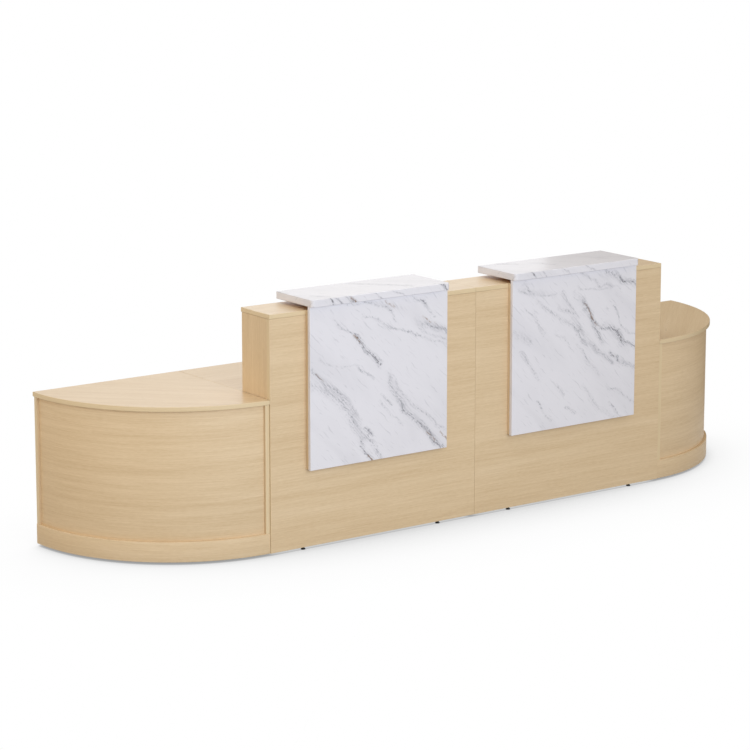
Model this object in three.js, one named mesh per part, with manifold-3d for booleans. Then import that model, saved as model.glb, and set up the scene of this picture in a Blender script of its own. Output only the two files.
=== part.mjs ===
// Reception desk: two straight counter units between two quarter-round end units.
// Millimetres, +Z up. +X runs along the desk, and visitors stand on its -Y side.
// The origin is on the floor, under the middle of the desk's bounding box.

import * as THREE from 'three';
import { mergeVertices } from 'three/addons/utils/BufferGeometryUtils.js';
import Module from 'manifold-3d';

const wasm = await Module();
wasm.setup();

// Units
const UNIT_WIDTH = 1200; // a straight unit, seam to seam
const DESK_DEPTH = 800; // front face to back edge, and the radius of the end units
const WORKTOP_HEIGHT = 745; // floor to worktop
const RISER_HEIGHT = 400; // worktop to the top of the riser
const RISER_DEPTH = 240; // front face to the back edge of the riser top
const FLOOR_GAP = 12; // floor to the bottom edge of the boards
const UNIT_GAP = 1; // between neighbouring units
const FIT_GAP = 0.3; // between boards that meet

// Boards
const TOP_BOARD = 22; // worktops and riser tops
const PANEL_BOARD = 22; // fronts, ends and risers
const EDGE_ROUND = 2; // rounded arris of the tops
const BACK_INSET = 3; // end panels behind the back edge of the worktops
const RISER_INSET = 7; // riser sides behind the back edge of the riser top

// Quarter-round end units
const STILE_INSET = 6; // outer edges of the stiles, inside the worktop's edge
const PLINTH_INSET = 4; // plinth, inside the worktop's edge
const PLINTH_HEIGHT = 96;
const PLINTH_BOARD = 14;
const BENT_BOARD = 12; // bent front, behind the plinth
const BASE_BOARD = 22;
const ARC_STEPS = 40; // facets in a quarter circle

// Counters
const COUNTER_LENGTH = 800; // slab and drop panel, along the desk
const SLAB_THICKNESS = 35;
const SLAB_REACH = 58; // slab in front of the front face
const SLAB_BACK = 242; // front face to the back edge of the slab
const SLAB_CORNER = 18; // rounded corners on the visitors' side
const DROP_BOARD = 18;
const DROP_BOTTOM = 386; // floor to the bottom edge of the drop panel
const COUNTER_GAP = 18; // slab above the riser, and drop in front of the front panel
const SLAB_ROUND = 3; // rounded arrises
const DROP_ROUND = 1.5;
const BATTEN_WIDTH = 60;
const BATTEN_OFFSET = 250; // from the middle of the counter
const SLAB_BATTEN_START = 40; // front face to the front end of a slab batten
const SLAB_BATTEN_LENGTH = 160;
const DROP_BATTEN_LENGTH = 620;
const DROP_BATTEN_DROP = 40; // riser top down to the upper end of a drop batten

// Levelling feet
const FOOT_RADIUS = 11;
const FOOT_RIM = 5; // height of the foot's straight rim
const FOOT_NECK_RADIUS = 7;
const FOOT_CHAMFER = 1;
const STUD_RADIUS = 4;
const STUD_LENGTH = 20;
const STUD_CLEARANCE = 0.3;
const SOCKET_SPARE = 1; // socket past the end of the stud
const FRONT_FOOT_INNER = 220; // middle seam to the inner front foot
const FRONT_FOOT_OUTER = 188; // outer seam to the outer front foot
const REAR_FOOT_SETBACK = 80; // back edge to the rear feet
const BASE_FOOT_MARGIN = 110; // feet of the end units, inside the edges of the base
const ROUND_STEPS = 16; // facets round a foot, a bolt or a hole, or in a corner of the slab

// Joining bolts
const BOLT_RADIUS = 3;
const BOLT_HOLE_CLEARANCE = 0.5;
const BOLT_HEAD_RADIUS = 8;
const BOLT_HEAD = 3;
const BOLT_HEIGHT = 560;
const BOLT_SETBACK = 150; // front and back edges to the bolts

// Levels and planes that the pieces share
const FRONT = (SLAB_REACH - DESK_DEPTH) / 2;
const BACK = FRONT + DESK_DEPTH;
const WORKTOP_UNDER = WORKTOP_HEIGHT - TOP_BOARD;
const RISER_TOP = WORKTOP_HEIGHT + RISER_HEIGHT;
const RISER_UNDER = RISER_TOP - TOP_BOARD;
const SLAB_UNDER = RISER_TOP + COUNTER_GAP;
const DROP_BACK = FRONT - COUNTER_GAP;
const BEHIND_FRONT = FRONT + PANEL_BOARD + FIT_GAP;
const END_BACK = BACK - BACK_INSET;
const SEAM = UNIT_GAP / 2;
const COUNTER_MIDDLE = UNIT_WIDTH / 2;
const STILE_RADIUS = DESK_DEPTH - STILE_INSET;
const PLINTH_RADIUS = DESK_DEPTH - PLINTH_INSET;
const BENT_RADIUS = PLINTH_RADIUS - PLINTH_BOARD - FIT_GAP;
const BASE_RADIUS = BENT_RADIUS - BENT_BOARD - FIT_GAP;
const PLINTH_TOP = FLOOR_GAP + PLINTH_HEIGHT;
const SOCKET_DEPTH = STUD_LENGTH + SOCKET_SPARE;
const BOLT_PLACES = { front: FRONT + BOLT_SETBACK, rear: BACK - BOLT_SETBACK };
const SIDES = { left: -1, right: 1 };

const FINISHES = {
  beech: { color: 0xdcc39b, roughness: 0.5, metalness: 0 },
  softwood: { color: 0xd2b083, roughness: 0.7, metalness: 0 },
  marble: { color: 0xe9e8ec, roughness: 0.3, metalness: 0 },
  blackPlastic: { color: 0x1a1a1b, roughness: 0.55, metalness: 0 },
  steel: { color: 0xb4b7ba, roughness: 0.35, metalness: 1 },
};

const desk = new THREE.Group();

function addPiece(name, geometry, finish) {
  const mesh = new THREE.Mesh(geometry, new THREE.MeshStandardMaterial(FINISHES[finish]));
  mesh.name = name;
  desk.add(mesh);
}

// Solids and cuts

function toSolid(geometry) {
  const bare = geometry.clone();
  bare.deleteAttribute('normal');
  bare.deleteAttribute('uv');
  const merged = mergeVertices(bare);
  const vertProperties = new Float32Array(merged.attributes.position.array);
  const triVerts = new Uint32Array(merged.index.array);
  return new wasm.Manifold(new wasm.Mesh({ numProp: 3, vertProperties, triVerts }));
}

function toGeometry(solid) {
  const { vertProperties, triVerts } = solid.getMesh();
  const geometry = new THREE.BufferGeometry();
  geometry.setAttribute('position', new THREE.BufferAttribute(vertProperties, 3));
  geometry.setIndex(new THREE.BufferAttribute(triVerts, 1));
  const faceted = geometry.toNonIndexed();
  faceted.computeVertexNormals();
  return faceted;
}

function cutAway(geometry, cutters) {
  let solid = toSolid(geometry);
  for (const cutter of cutters) {
    solid = solid.subtract(toSolid(cutter));
  }
  return toGeometry(solid);
}

// A square-edged board between two corners, given as a pair of values on each axis.
function board(xs, ys, zs) {
  const low = new THREE.Vector3(Math.min(...xs), Math.min(...ys), Math.min(...zs));
  const high = new THREE.Vector3(Math.max(...xs), Math.max(...ys), Math.max(...zs));
  const size = high.clone().sub(low);
  const middle = low.clone().add(high).divideScalar(2);
  return new THREE.BoxGeometry(size.x, size.y, size.z).translate(middle.x, middle.y, middle.z);
}

// A flat outline pulled up between two levels, with its upper and lower arrises rounded.
function pullUp(outline, bottom, top, round = 0, steps = ARC_STEPS) {
  const geometry = new THREE.ExtrudeGeometry(outline, {
    depth: top - bottom - 2 * round,
    curveSegments: steps / 2, // an arc gets two facets for each of these
    bevelEnabled: round > 0,
    bevelSize: round,
    bevelThickness: round,
    bevelOffset: -round,
    bevelSegments: 2,
  });
  return geometry.translate(0, 0, bottom + round);
}

function rectangle(xs, ys) {
  const shape = new THREE.Shape();
  shape.moveTo(xs[0], ys[0]);
  shape.lineTo(xs[1], ys[0]);
  shape.lineTo(xs[1], ys[1]);
  shape.lineTo(xs[0], ys[1]);
  shape.closePath();
  return shape;
}

// A flat board with rounded arrises.
function flatBoard(xs, ys, zs, round) {
  return pullUp(rectangle(xs, ys), zs[0], zs[1], round);
}

// An upright board along the desk, with rounded arrises round its front and back.
function uprightBoard(xs, ys, zs, round) {
  return pullUp(rectangle(xs, zs), -ys[1], -ys[0], round).rotateX(Math.PI / 2);
}

// A rectangle whose two corners on the visitors' side are rounded.
function counterOutline(xs, ys, corner) {
  const shape = new THREE.Shape();
  shape.moveTo(xs[0], ys[1]);
  shape.lineTo(xs[0], ys[0] + corner);
  shape.absarc(xs[0] + corner, ys[0] + corner, corner, Math.PI, 1.5 * Math.PI, false);
  shape.absarc(xs[1] - corner, ys[0] + corner, corner, 1.5 * Math.PI, 2 * Math.PI, false);
  shape.lineTo(xs[1], ys[1]);
  shape.closePath();
  return shape;
}

// A round hole, its flats clear of the pin that it takes.
function drill(radius, clearance, length) {
  const corner = (radius + clearance) / Math.cos(Math.PI / ROUND_STEPS);
  return new THREE.CylinderGeometry(corner, corner, length, ROUND_STEPS);
}

// Levelling feet and their sockets

function footSocket([x, y]) {
  const hole = drill(STUD_RADIUS, STUD_CLEARANCE, 2 * SOCKET_DEPTH);
  return hole.rotateX(Math.PI / 2).translate(x, y, FLOOR_GAP);
}

function addFoot(name, [x, y]) {
  const shoulder = FLOOR_GAP - FIT_GAP;
  const studTop = FLOOR_GAP + STUD_LENGTH;
  const profile = [
    [0, 0],
    [FOOT_RADIUS - FOOT_CHAMFER, 0],
    [FOOT_RADIUS, FOOT_CHAMFER],
    [FOOT_RADIUS, FOOT_RIM],
    [FOOT_NECK_RADIUS, FOOT_RIM + (FOOT_RADIUS - FOOT_NECK_RADIUS) / 2],
    [FOOT_NECK_RADIUS, shoulder],
    [STUD_RADIUS, shoulder],
    [STUD_RADIUS, studTop],
    [0, studTop],
  ];
  const points = profile.map(([radius, height]) => new THREE.Vector2(radius, height));
  const foot = new THREE.LatheGeometry(points, ROUND_STEPS);
  addPiece(name, foot.rotateX(Math.PI / 2).translate(x, y, 0), 'blackPlastic');
}

// Joining bolts and their holes, which run along the desk

function boltHole(x, y) {
  const hole = drill(BOLT_RADIUS, BOLT_HOLE_CLEARANCE, 3 * PANEL_BOARD);
  return hole.rotateZ(Math.PI / 2).translate(x, y, BOLT_HEIGHT);
}

function boltHoles(x) {
  return Object.values(BOLT_PLACES).map((y) => boltHole(x, y));
}

function addBolts(seamName, x) {
  const grip = SEAM + PANEL_BOARD + FIT_GAP;
  const end = grip + BOLT_HEAD;
  const profile = [
    [0, -end],
    [BOLT_HEAD_RADIUS, -end],
    [BOLT_HEAD_RADIUS, -grip],
    [BOLT_RADIUS, -grip],
    [BOLT_RADIUS, grip],
    [BOLT_HEAD_RADIUS, grip],
    [BOLT_HEAD_RADIUS, end],
    [0, end],
  ];
  const points = profile.map(([radius, along]) => new THREE.Vector2(radius, along));
  for (const [place, y] of Object.entries(BOLT_PLACES)) {
    const bolt = new THREE.LatheGeometry(points, ROUND_STEPS);
    const name = `${seamName}_seam_bolt_${place}`;
    addPiece(name, bolt.rotateZ(Math.PI / 2).translate(x, y, BOLT_HEIGHT), 'steel');
  }
}

// Straight unit: its places along the desk are measured outwards from the middle seam.

function addStraightUnit(sideName, side) {
  const along = (from, to) => (side > 0 ? [from, to] : [-to, -from]);
  const wholeWidth = along(SEAM, UNIT_WIDTH - SEAM);
  const ends = {
    inner: [SEAM, SEAM + PANEL_BOARD],
    outer: [UNIT_WIDTH - SEAM - PANEL_BOARD, UNIT_WIDTH - SEAM],
  };
  const frontFeet = {
    inner: [side * FRONT_FOOT_INNER, FRONT + PANEL_BOARD / 2],
    outer: [side * (UNIT_WIDTH - FRONT_FOOT_OUTER), FRONT + PANEL_BOARD / 2],
  };

  const frontBoard = board(wholeWidth, [FRONT, FRONT + PANEL_BOARD], [FLOOR_GAP, RISER_UNDER - FIT_GAP]);
  const frontSockets = Object.values(frontFeet).map(footSocket);
  addPiece(`${sideName}_front_panel`, cutAway(frontBoard, frontSockets), 'beech');

  for (const [end, [from, to]] of Object.entries(ends)) {
    const xs = along(from, to);
    const seamX = end === 'inner' ? 0 : side * UNIT_WIDTH;
    const rearFoot = [side * (from + to) / 2, BACK - REAR_FOOT_SETBACK];
    const endBoard = board(xs, [BEHIND_FRONT, END_BACK], [FLOOR_GAP, WORKTOP_UNDER - FIT_GAP]);
    const endPanel = cutAway(endBoard, [footSocket(rearFoot), ...boltHoles(seamX)]);
    addPiece(`${sideName}_${end}_end_panel`, endPanel, 'beech');
    addFoot(`${sideName}_${end}_front_foot`, frontFeet[end]);
    addFoot(`${sideName}_${end}_rear_foot`, rearFoot);

    const riserYs = [BEHIND_FRONT, FRONT + RISER_DEPTH - RISER_INSET];
    const riserZs = [WORKTOP_HEIGHT + FIT_GAP, RISER_UNDER - FIT_GAP];
    addPiece(`${sideName}_${end}_riser_side`, board(xs, riserYs, riserZs), 'beech');
  }

  const worktopZs = [WORKTOP_UNDER, WORKTOP_HEIGHT];
  const worktop = flatBoard(wholeWidth, [BEHIND_FRONT, BACK], worktopZs, EDGE_ROUND);
  addPiece(`${sideName}_worktop`, worktop, 'beech');
  const riserTopZs = [RISER_UNDER, RISER_TOP];
  const riserTop = flatBoard(wholeWidth, [FRONT, FRONT + RISER_DEPTH], riserTopZs, EDGE_ROUND);
  addPiece(`${sideName}_riser_top`, riserTop, 'beech');
  addCounter(sideName, along);
}

// Counter of a straight unit: a slab and a drop panel, held off the riser by battens.

function addCounter(sideName, along) {
  const counterXs = along(COUNTER_MIDDLE - COUNTER_LENGTH / 2, COUNTER_MIDDLE + COUNTER_LENGTH / 2);
  const slabOutline = counterOutline(counterXs, [FRONT - SLAB_REACH, FRONT + SLAB_BACK], SLAB_CORNER);
  const slab = pullUp(slabOutline, SLAB_UNDER, SLAB_UNDER + SLAB_THICKNESS, SLAB_ROUND, ROUND_STEPS / 2);
  addPiece(`${sideName}_counter_slab`, slab, 'marble');

  const dropYs = [DROP_BACK - DROP_BOARD, DROP_BACK];
  const dropZs = [DROP_BOTTOM, SLAB_UNDER - FIT_GAP];
  addPiece(`${sideName}_counter_drop`, uprightBoard(counterXs, dropYs, dropZs, DROP_ROUND), 'marble');

  const slabBattenStart = FRONT + SLAB_BATTEN_START;
  const slabBattenYs = [slabBattenStart, slabBattenStart + SLAB_BATTEN_LENGTH];
  const slabBattenZs = [RISER_TOP + FIT_GAP, SLAB_UNDER - FIT_GAP];
  const dropBattenTop = RISER_TOP - DROP_BATTEN_DROP;
  const dropBattenYs = [DROP_BACK + FIT_GAP, FRONT - FIT_GAP];
  const dropBattenZs = [dropBattenTop - DROP_BATTEN_LENGTH, dropBattenTop];
  for (const [end, way] of [['inner', -1], ['outer', 1]]) {
    const middle = COUNTER_MIDDLE + way * BATTEN_OFFSET;
    const xs = along(middle - BATTEN_WIDTH / 2, middle + BATTEN_WIDTH / 2);
    addPiece(`${sideName}_${end}_slab_batten`, board(xs, slabBattenYs, slabBattenZs), 'softwood');
    addPiece(`${sideName}_${end}_drop_batten`, board(xs, dropBattenYs, dropBattenZs), 'softwood');
  }
}

// End unit: a closed quarter-round cabinet about the back corner of its seam.

// Part of a circle about that corner, with angles measured from the back edge to the seam.
function addArc(shape, side, radius, from, to) {
  const turned = (angle) => (side > 0 ? -angle : Math.PI + angle);
  const clockwise = (to > from) === (side > 0);
  shape.absarc(side * UNIT_WIDTH, BACK, radius, turned(from), turned(to), clockwise);
}

// A band between two radii, which stops at one plane along the seam and one along the back.
function bentBand(side, outer, inner, seamPlane, backPlane) {
  const shape = new THREE.Shape();
  addArc(shape, side, outer, Math.asin(backPlane / outer), Math.acos(seamPlane / outer));
  addArc(shape, side, inner, Math.acos(seamPlane / inner), Math.asin(backPlane / inner));
  shape.closePath();
  return shape;
}

// A quarter disc, which stops at the same two planes.
function quarterDisc(side, radius, seamPlane, backPlane) {
  const shape = new THREE.Shape();
  addArc(shape, side, radius, Math.asin(backPlane / radius), Math.acos(seamPlane / radius));
  shape.lineTo(side * (UNIT_WIDTH + seamPlane), BACK - backPlane);
  shape.closePath();
  return shape;
}

function addEndUnit(sideName, side) {
  const sideInner = SEAM + PANEL_BOARD + FIT_GAP;
  const rearInner = BACK_INSET + PANEL_BOARD + FIT_GAP;
  const plinthInner = PLINTH_RADIUS - PLINTH_BOARD;
  const panelTop = WORKTOP_UNDER - FIT_GAP;
  const outwards = (from, to) => [side * (UNIT_WIDTH + from), side * (UNIT_WIDTH + to)];
  const forwards = (from, to) => [BACK - from, BACK - to];

  const top = quarterDisc(side, DESK_DEPTH, SEAM, 0);
  const roundedTop = pullUp(top, WORKTOP_UNDER, WORKTOP_HEIGHT, EDGE_ROUND);
  addPiece(`${sideName}_curved_worktop`, roundedTop, 'beech');
  const bent = bentBand(side, BENT_RADIUS, BENT_RADIUS - BENT_BOARD, sideInner, rearInner);
  addPiece(`${sideName}_curved_front`, pullUp(bent, FLOOR_GAP, panelTop), 'beech');
  const plinth = bentBand(side, PLINTH_RADIUS, plinthInner, SEAM, BACK_INSET);
  addPiece(`${sideName}_plinth`, pullUp(plinth, FLOOR_GAP, PLINTH_TOP), 'beech');

  // The side and rear panels show their edges as stiles, notched for the plinth at the foot.
  const zs = [FLOOR_GAP, panelTop];
  const notchZs = [0, PLINTH_TOP + FIT_GAP];
  const notchStart = (inner) => Math.sqrt(plinthInner ** 2 - inner ** 2) - FIT_GAP;
  const sideBoard = board(outwards(SEAM, SEAM + PANEL_BOARD), forwards(rearInner, STILE_RADIUS), zs);
  const sideNotch = board(outwards(0, sideInner), forwards(notchStart(sideInner), DESK_DEPTH), notchZs);
  const sidePanel = cutAway(sideBoard, [sideNotch, ...boltHoles(side * UNIT_WIDTH)]);
  addPiece(`${sideName}_curved_side_panel`, sidePanel, 'beech');
  const rearYs = forwards(BACK_INSET, BACK_INSET + PANEL_BOARD);
  const rearBoard = board(outwards(SEAM, STILE_RADIUS), rearYs, zs);
  const rearNotch = board(outwards(notchStart(rearInner), DESK_DEPTH), forwards(0, rearInner), notchZs);
  addPiece(`${sideName}_curved_rear_panel`, cutAway(rearBoard, [rearNotch]), 'beech');

  const near = PANEL_BOARD + BASE_FOOT_MARGIN;
  const far = BASE_RADIUS - BASE_FOOT_MARGIN;
  const spot = (out, forward) => [side * (UNIT_WIDTH + out), BACK - forward];
  const feet = { back: spot(near, near), front: spot(near, far), outer: spot(far, near) };
  const baseDisc = quarterDisc(side, BASE_RADIUS, sideInner, rearInner);
  const base = pullUp(baseDisc, FLOOR_GAP, FLOOR_GAP + BASE_BOARD);
  const sockets = Object.values(feet).map(footSocket);
  addPiece(`${sideName}_curved_base`, cutAway(base, sockets), 'beech');
  for (const [place, centre] of Object.entries(feet)) {
    addFoot(`${sideName}_curved_${place}_foot`, centre);
  }
}

desk.name = 'reception_desk';
for (const [sideName, side] of Object.entries(SIDES)) {
  addStraightUnit(sideName, side);
  addEndUnit(sideName, side);
  addBolts(sideName, side * UNIT_WIDTH);
}
addBolts('middle', 0);

export default desk;
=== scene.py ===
import math

import bmesh
import bpy
from mathutils import Matrix, Vector


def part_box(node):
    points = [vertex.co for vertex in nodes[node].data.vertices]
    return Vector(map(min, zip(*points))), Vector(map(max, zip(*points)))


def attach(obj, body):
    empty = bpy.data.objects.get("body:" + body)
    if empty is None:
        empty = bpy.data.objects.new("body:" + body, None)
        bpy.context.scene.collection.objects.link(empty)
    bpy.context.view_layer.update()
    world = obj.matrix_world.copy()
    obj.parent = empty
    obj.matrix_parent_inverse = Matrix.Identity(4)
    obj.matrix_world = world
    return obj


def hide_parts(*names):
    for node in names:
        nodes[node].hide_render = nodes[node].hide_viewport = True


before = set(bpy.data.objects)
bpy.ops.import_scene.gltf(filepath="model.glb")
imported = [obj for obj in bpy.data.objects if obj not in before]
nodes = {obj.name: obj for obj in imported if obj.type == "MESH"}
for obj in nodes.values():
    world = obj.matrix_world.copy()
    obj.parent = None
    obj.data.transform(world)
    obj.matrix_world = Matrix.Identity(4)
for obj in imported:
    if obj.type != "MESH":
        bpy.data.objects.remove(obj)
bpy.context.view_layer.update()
scene = bpy.context.scene
sides = {"left": -1, "right": 1}
ends = ("inner", "outer")
print("frame loaded with", len(nodes), "nodes")


def toLinear(hexColour):
    parts = [int(hexColour[at:at + 2], 16) / 255 for at in (1, 3, 5)]
    return (*(p / 12.92 if p <= 0.04045 else ((p + 0.055) / 1.055) ** 2.4 for p in parts), 1)


def addNode(tree, kind, settings=None, links=None):
    node = tree.nodes.new(kind)
    for key, value in (settings or {}).items():
        if isinstance(key, int) or key in node.inputs:
            node.inputs[key].default_value = value
        else:
            setattr(node, key, value)
    for key, socket in (links or {}).items():
        tree.links.new(socket, node.inputs[key])
    return node


def addMath(tree, operation, *terms):  # each term is a number or a socket
    numbers = {at: term for at, term in enumerate(terms) if isinstance(term, (int, float))}
    sockets = {at: term for at, term in enumerate(terms) if at not in numbers}
    return addNode(tree, "ShaderNodeMath", {"operation": operation, **numbers}, sockets).outputs[0]


def addRamp(tree, value, stops):  # each stop is a place and a linear colour
    ramp = addNode(tree, "ShaderNodeValToRGB", {}, {0: value})
    marks = ramp.color_ramp.elements
    marks[0].position, marks[1].position = stops[0][0], stops[-1][0]
    for place, colour in stops[1:-1]:
        marks.new(place)
    for mark, (place, colour) in zip(marks, stops):
        mark.color = colour
    return ramp.outputs["Color"]


def newMaterial(name, settings):
    material = bpy.data.materials.new(name)
    material.use_nodes = True
    tree = material.node_tree
    shader = tree.nodes["Principled BSDF"]
    for key, value in settings.items():
        shader.inputs[key].default_value = value
    return material, tree, shader


def addRoughness(tree, shader, value, limits):
    rough = addNode(tree, "ShaderNodeMapRange", {3: limits[0], 4: limits[1]}, {0: value})
    tree.links.new(rough.outputs[0], shader.inputs["Roughness"])


# Camera, from the corners of the desk in the photograph

shot = {
    "place": (-7.755, -10.278, 3.419),
    "turn": 35.827,  # degrees to the right of +Y
    "dip": 10.522,  # degrees below level
    "lens": 126.65,
    "sensor": 36,
    "shiftY": -0.1,
    "sees": 200,  # metres
}
cameraData = bpy.data.cameras.new("camera")
cameraData.lens = shot["lens"]
cameraData.sensor_width = shot["sensor"]
cameraData.shift_y = shot["shiftY"]
cameraData.clip_end = shot["sees"]
camera = bpy.data.objects.new("camera", cameraData)
camera.location = shot["place"]
camera.rotation_euler = (math.radians(90 - shot["dip"]), 0, math.radians(-shot["turn"]))
scene.collection.objects.link(camera)
scene.camera = camera
scene.view_settings.view_transform = "Standard"
print("camera set")


# Studio: an even pale room, a wide soft lamp ahead, two above for the tops, a weak warm one at the
# left, a white floor, and a card at the right that keeps the white room out of the gloss on that end

studio = {
    "room": 0.6,
    "roomColour": "#FFF5E4",
    "lamps": {  # place, width and height in metres, watts, colour
        "ahead": ((-1.3, -5.5, 1.9), (5.0, 2.5), 183, "#E7F2FF"),
        "left": ((-5.2, 0.4, 1.6), (3.0, 2.5), 35, "#FFF7EA"),
        "overhead": ((-1.2, 0.4, 4.5), (4.0, 3.0), 37, "#E7F2FF"),
        "behind": ((1.5, 2.5, 4.0), (3.0, 2.5), 56, "#E7F2FF"),
    },
    "aim": (0.0, 0.0, 0.6),
    "floorHalf": 70,
    "floorBounce": "#A0A0A0",  # what the desk sees of the floor
    "shadows": {  # reach in metres, then how open the floor is and how white it looks there
        "round": (0.9, ((0.0, 0.60), (0.45, 0.66), (0.49, 0.72), (0.53, 0.81), (0.57, 0.86), (0.62, 0.91),
                        (0.68, 0.95), (0.76, 0.98), (0.95, 1.0))),
        "contact": (0.06, ((0.0, 0.5), (0.5, 0.92), (1.0, 1.0))),
    },
    "shadowSamples": 24,
    "flag": ((2.06, 1.59), (3.4, -0.6), (0.0, 1.75)),  # ends of the card at the right, its foot and its top
    "flagColour": "#7D7367",
    "flagRoughness": 0.9,
}


def addSeen(tree):  # 1 for a ray that looks at the studio, straight or in the gloss
    path = addNode(tree, "ShaderNodeLightPath").outputs
    seen = path["Is Camera Ray"]
    for kind in ("Is Glossy Ray", "Is Transmission Ray"):
        seen = addMath(tree, "MAXIMUM", seen, path[kind])
    return seen


room = bpy.data.worlds.new("room")
scene.world = room
room.use_nodes = True
tree = room.node_tree
tree.nodes.clear()
even = addNode(tree, "ShaderNodeBackground",
               {"Color": toLinear(studio["roomColour"]), "Strength": studio["room"]})
white = addNode(tree, "ShaderNodeBackground", {"Color": (1, 1, 1, 1), "Strength": 1})
mixed = addNode(tree, "ShaderNodeMixShader", {},
                {0: addSeen(tree), 1: even.outputs[0], 2: white.outputs[0]})
addNode(tree, "ShaderNodeOutputWorld", {}, {"Surface": mixed.outputs[0]})

for name, (place, size, watts, colour) in studio["lamps"].items():
    lampData = bpy.data.lights.new(f"softbox {name}", "AREA")
    lampData.shape = "RECTANGLE"
    lampData.size, lampData.size_y = size
    lampData.energy = watts
    lampData.color = toLinear(colour)[:3]
    lamp = bpy.data.objects.new(f"softbox {name}", lampData)
    lamp.location = place
    lamp.rotation_euler = (Vector(studio["aim"]) - lamp.location).to_track_quat("-Z", "Y").to_euler()
    lamp.visible_camera = False
    scene.collection.objects.link(lamp)

floorMesh = bpy.data.meshes.new("floor")
half = studio["floorHalf"]
floorMesh.from_pydata([(-half, -half, 0), (half, -half, 0), (half, half, 0), (-half, half, 0)],
                      [], [(0, 1, 2, 3)])
floor = bpy.data.objects.new("floor", floorMesh)
scene.collection.objects.link(floor)
floorPaint = bpy.data.materials.new("matt white studio floor")
floorPaint.use_nodes = True
tree = floorPaint.node_tree
tree.nodes.clear()
shade = None
for reach, greys in studio["shadows"].values():
    openness = addNode(tree, "ShaderNodeAmbientOcclusion",
                       {"samples": studio["shadowSamples"], "Distance": reach})
    stops = [(place, (grey, grey, grey, 1)) for place, grey in greys]
    greyed = addRamp(tree, openness.outputs["AO"], stops)
    if shade:
        greyed = addNode(tree, "ShaderNodeVectorMath", {"operation": "MULTIPLY"},
                         {0: shade, 1: greyed}).outputs[0]
    shade = greyed
shown = addNode(tree, "ShaderNodeEmission", {"Strength": 1}, {"Color": shade})
matt = addNode(tree, "ShaderNodeBsdfDiffuse", {"Color": toLinear(studio["floorBounce"])})
lit = addNode(tree, "ShaderNodeMixShader", {},
              {0: addSeen(tree), 1: matt.outputs[0], 2: shown.outputs[0]})
clear = addNode(tree, "ShaderNodeBsdfTransparent")
underside = addNode(tree, "ShaderNodeNewGeometry").outputs["Backfacing"]
below = addNode(tree, "ShaderNodeMixShader", {},  # the floor can be looked through from below
                {0: underside, 1: lit.outputs[0], 2: clear.outputs[0]})
addNode(tree, "ShaderNodeOutputMaterial", {}, {"Surface": below.outputs[0]})
floorMesh.materials.append(floorPaint)

first, last, (low, high) = studio["flag"]
flagMesh = bpy.data.meshes.new("flag")
flagMesh.from_pydata([(*first, low), (*last, low), (*last, high), (*first, high)], [], [(0, 1, 2, 3)])
flag = bpy.data.objects.new("flag", flagMesh)
flag.visible_camera = flag.visible_diffuse = flag.visible_shadow = False  # only the gloss sees it
scene.collection.objects.link(flag)
flagPaper, tree, shader = newMaterial("dark studio card", {"Roughness": studio["flagRoughness"]})
shader.inputs["Base Color"].default_value = toLinear(studio["flagColour"])
flagMesh.materials.append(flagPaper)
print("studio set")


# Beech melamine: paper printed with a pale beech grain and pressed on board.
# It shows long soft bands along the grain, finer streaks in them and short flecks. The upright boards
# come from a matt plate, the tops from a satin one that catches the room at a low angle.
# The edging is extruded ABS printed to match, plainer.

beechPrint = {
    "deep": "#CEB18B",
    "middle": "#DCC29D",
    "pale": "#E8D0AF",
    "layers": (  # width across the grain and length along it in metres, and strength
        (0.060, 1.50, 0.52),
        (0.018, 0.60, 0.42),
        (0.005, 0.22, 0.60),
        (0.004, 0.03, 0.48),  # flecks: 0.5 mm wide on the board, drawn coarser so that they show
    ),
    "roughness": 0.48,
    "topRoughness": 0.30,
    "sheen": 0.04,  # how far the roughness swings with the grain
    "ior": 1.36,
    "topIor": 1.5,
    "noise": {"noise_dimensions": "2D", "Scale": 1, "Detail": 2, "Distortion": 0.1},
    "pores": {"Distance": 0.00003, "Strength": 0.5},
}
edging = {
    "deep": "#D5BB93",
    "middle": "#DFC8A2",
    "pale": "#E7D2B0",
    "layers": beechPrint["layers"][1:3],
    "roughness": 0.4,
    "ior": 1.4,
}


def makeBeech(name, tones, roughness, ior):
    material, tree, shader = newMaterial(name, {"Roughness": roughness, "IOR": ior})
    grain = addNode(tree, "ShaderNodeUVMap", {"uv_map": "grain"})
    tone = 0.5
    for width, length, strength in tones["layers"]:
        place = addNode(tree, "ShaderNodeMapping", {"Scale": (1 / length, 1 / width, 1)},
                        {"Vector": grain.outputs["UV"]})
        noise = addNode(tree, "ShaderNodeTexNoise", beechPrint["noise"], {"Vector": place.outputs[0]})
        swing = addMath(tree, "MULTIPLY_ADD", noise.outputs[0], strength, -0.5 * strength)
        tone = addMath(tree, "ADD", swing, tone)
    stops = [(at / 2, toLinear(tones[depth])) for at, depth in enumerate(("deep", "middle", "pale"))]
    tree.links.new(addRamp(tree, tone, stops), shader.inputs["Base Color"])
    addRoughness(tree, shader, tone, (roughness + beechPrint["sheen"], roughness - beechPrint["sheen"]))
    pores = addNode(tree, "ShaderNodeBump", beechPrint["pores"], {"Height": tone})
    tree.links.new(pores.outputs[0], shader.inputs["Normal"])
    return material


beechFace = makeBeech("beech melamine, pressed matt", beechPrint,
                      beechPrint["roughness"], beechPrint["ior"])
beechTop = makeBeech("beech melamine, pressed satin", beechPrint,
                     beechPrint["topRoughness"], beechPrint["topIor"])
beechEdge = makeBeech("beech ABS edging, extruded", edging, edging["roughness"], edging["ior"])


# Marble laminate: white with grey veins that fall to the right, printed and pressed satin.
# It shows soft grey clouds and washes, veins with speckled dark cores, and a few brown flecks.

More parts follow.
